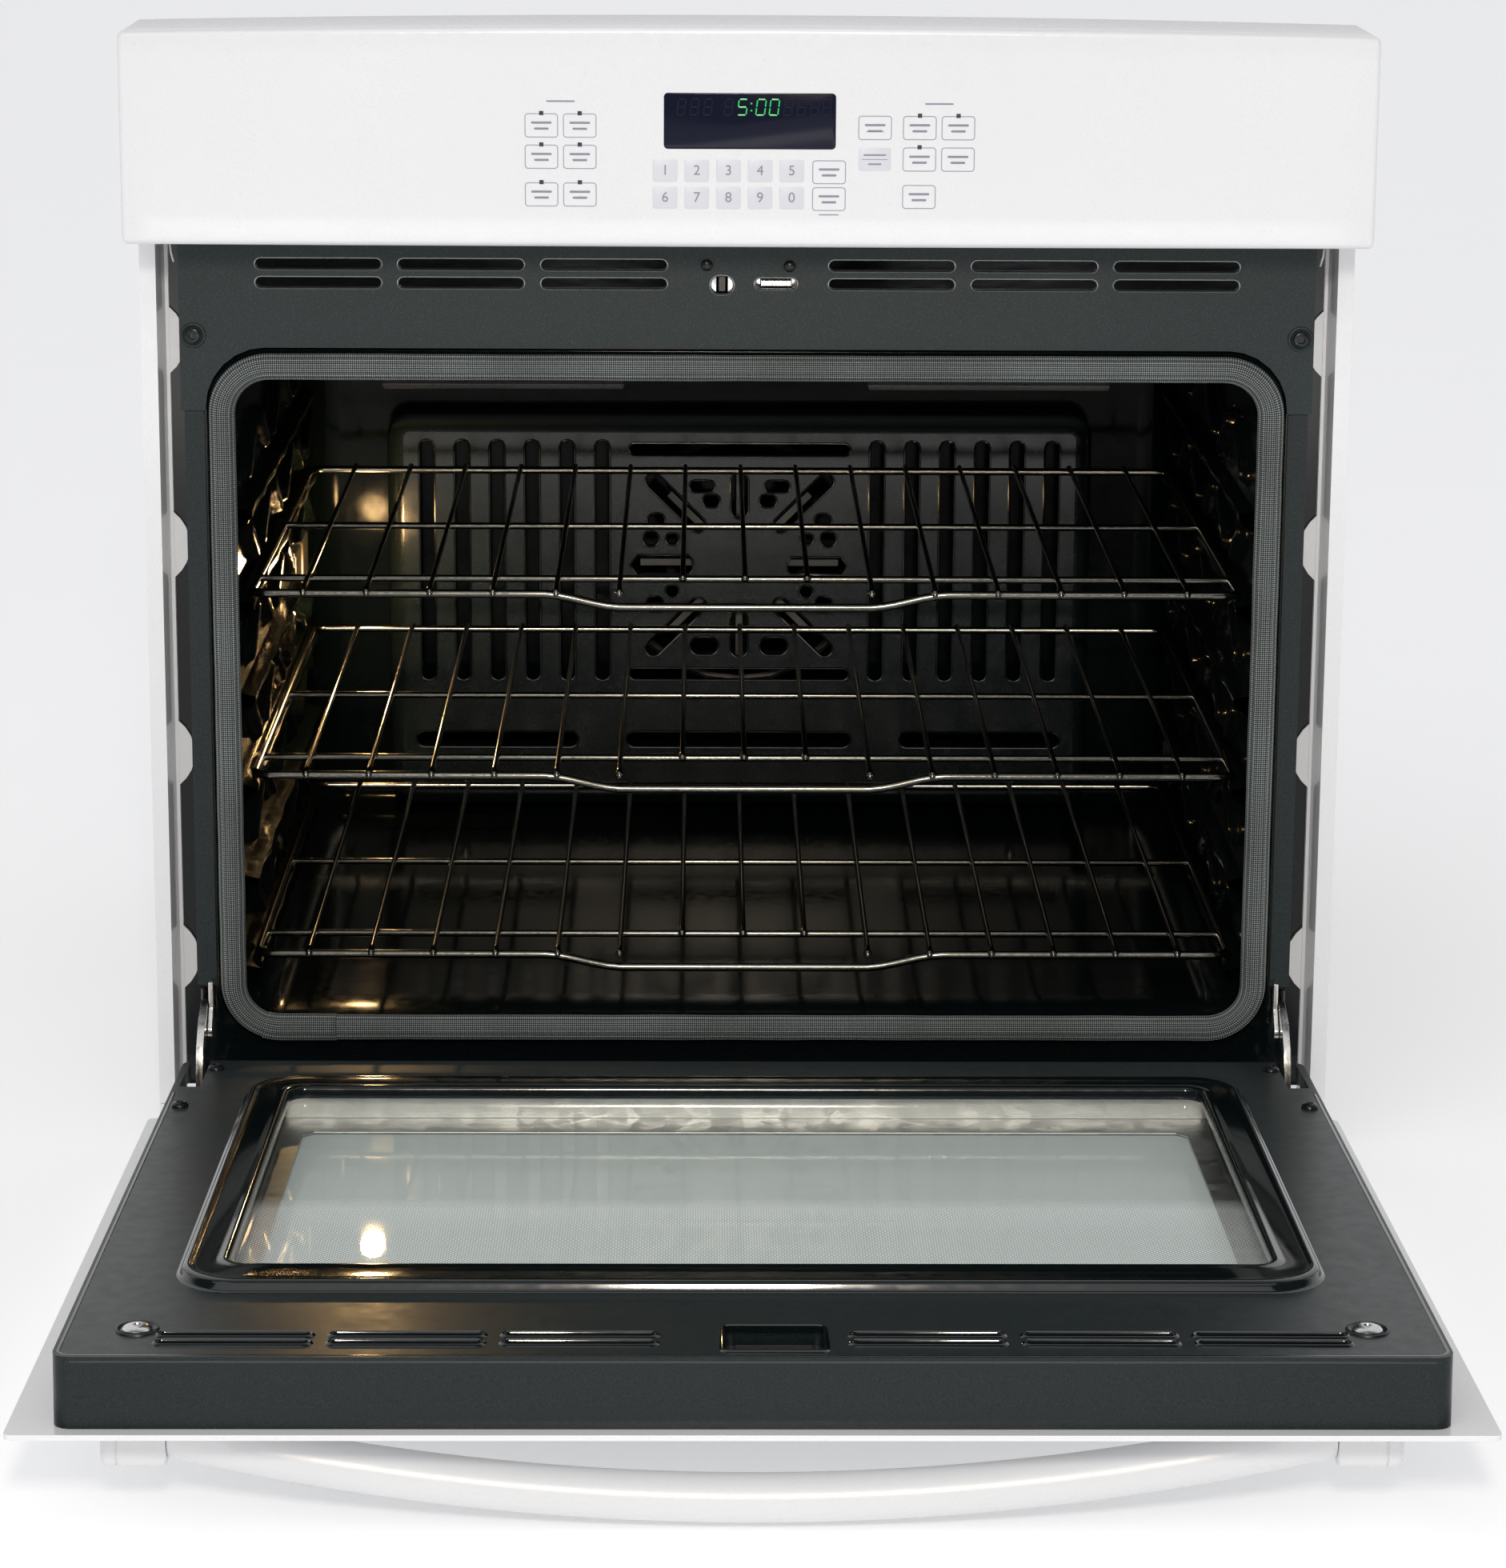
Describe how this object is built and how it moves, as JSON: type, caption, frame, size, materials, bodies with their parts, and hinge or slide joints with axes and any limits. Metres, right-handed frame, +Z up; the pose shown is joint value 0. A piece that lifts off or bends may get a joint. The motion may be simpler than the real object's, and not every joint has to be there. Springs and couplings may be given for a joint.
{
  "type": "wall oven",
  "caption": "Built-in single wall oven with a drop-down glazed door, wire racks, a fan baffle, a bowed handle and a touch control panel",
  "frame": {"origin": "on the floor plane under the middle of the front frame's face, on the base pan's toe", "axes": "+X right, +Y into the oven, +Z up"},
  "size_m": [0.7556, 1.226, 0.731],
  "materials": {
    "white_enamel": "gloss white enamel",
    "white_handle": "gloss white moulding",
    "charcoal_paint": "fine speckled satin charcoal",
    "black_porcelain": "glossy black porcelain enamel",
    "galvanised_steel": "galvanised sheet",
    "bright_steel": "bright zinc plate",
    "rack_steel": "dark enamelled wire",
    "element_sheath": "oxidised sheath",
    "gasket_braid": "woven glass braid",
    "mineral_wool": "mineral wool",
    "clear_glass": "clear with a green tint",
    "display_glass": "smoked lens",
    "circuit_board": "solder-masked board",
    "black_plastic": "moulded black"
  },
  "bodies": {
    "root": {"control_panel": "white_enamel", "bottom_trim": "white_enamel", "left_side_trim": "white_enamel", "right_side_trim": "white_enamel", "vent_panel": "charcoal_paint", "front_frame": "charcoal_paint", "cavity_liner": "black_porcelain", "convection_baffle": "black_porcelain", "base_pan": "galvanised_steel", "back_panel": "galvanised_steel", "top_cover": "galvanised_steel", "cooling_deck": "galvanised_steel", "cooling_blower_housing": "galvanised_steel", "lamp_housing": "galvanised_steel", "terminal_box": "galvanised_steel", "left_side_panel": "galvanised_steel", "right_side_panel": "galvanised_steel", "left_hinge_receiver": "galvanised_steel", "right_hinge_receiver": "galvanised_steel", "temperature_sensor": "bright_steel", "latch_switch": "bright_steel", "left_hinge_arm": "bright_steel", "right_hinge_arm": "bright_steel", "broil_element": "element_sheath", "bake_element": "element_sheath", "convection_element": "element_sheath", "convection_motor": "element_sheath", "cooling_motor": "element_sheath", "cavity_gasket": "gasket_braid", "insulation_blanket": "mineral_wool", "lamp_lens": "clear_glass", "lamp_bulb": "clear_glass", "display_window": "display_glass", "control_board": "circuit_board", "conduit_gland": "black_plastic", "latch_motor": "black_plastic", "left_vent_screw": "black_plastic", "right_vent_screw": "black_plastic"},
    "door": {"door_outer_panel": "white_enamel", "door_outer_glass": "clear_glass", "door_middle_glass": "clear_glass", "door_inner_glass": "clear_glass", "door_liner": "black_porcelain", "window_pack_frame": "galvanised_steel", "handle_bar": "white_handle", "left_handle_end": "white_handle", "right_handle_end": "white_handle", "left_hinge_channel": "bright_steel", "right_hinge_channel": "bright_steel", "left_door_screw": "bright_steel", "right_door_screw": "bright_steel"},
    "upper_rack": {"upper_rack": "rack_steel"},
    "middle_rack": {"middle_rack": "rack_steel"},
    "lower_rack": {"lower_rack": "rack_steel"},
    "convection_fan": {"convection_fan": "galvanised_steel"},
    "cooling_wheel": {"cooling_blower_wheel": "galvanised_steel"},
    "latch_hook": {"latch_hook": "element_sheath"},
    "left_hinge_lock": {"left_hinge_lock": "bright_steel"},
    "right_hinge_lock": {"right_hinge_lock": "bright_steel"}
  },
  "joints": [
    {"name": "door_hinge", "type": "hinge", "parent": "root", "child": "door", "pos_m": [0, -0.038, 0.05], "axis": [1, 0, 0], "range_deg": [-86.5, 0]},
    {"name": "upper_rack_slide", "type": "slide", "parent": "root", "child": "upper_rack", "axis": [0, -1, 0], "range_m": [0, 0.3]},
    {"name": "middle_rack_slide", "type": "slide", "parent": "root", "child": "middle_rack", "axis": [0, -1, 0], "range_m": [0, 0.3]},
    {"name": "lower_rack_slide", "type": "slide", "parent": "root", "child": "lower_rack", "axis": [0, -1, 0], "range_m": [0, 0.3]},
    {"name": "convection_fan_spin", "type": "hinge", "parent": "root", "child": "convection_fan", "pos_m": [0, 0.49, 0.284], "axis": [0, 1, 0], "continuous": true},
    {"name": "cooling_wheel_spin", "type": "hinge", "parent": "root", "child": "cooling_wheel", "pos_m": [0, 0.38, 0.606], "axis": [1, 0, 0], "continuous": true},
    {"name": "latch_hook_slide", "type": "slide", "parent": "root", "child": "latch_hook", "axis": [0, -1, 0], "range_m": [0, 0.012]},
    {"name": "left_hinge_lock_flip", "type": "hinge", "parent": "root", "child": "left_hinge_lock", "pos_m": [-0.3442, -0.014, 0.088], "axis": [1, 0, 0], "range_deg": [0, 100]},
    {"name": "right_hinge_lock_flip", "type": "hinge", "parent": "root", "child": "right_hinge_lock", "pos_m": [0.3442, -0.014, 0.088], "axis": [1, 0, 0], "range_deg": [0, 100]}
  ]
}
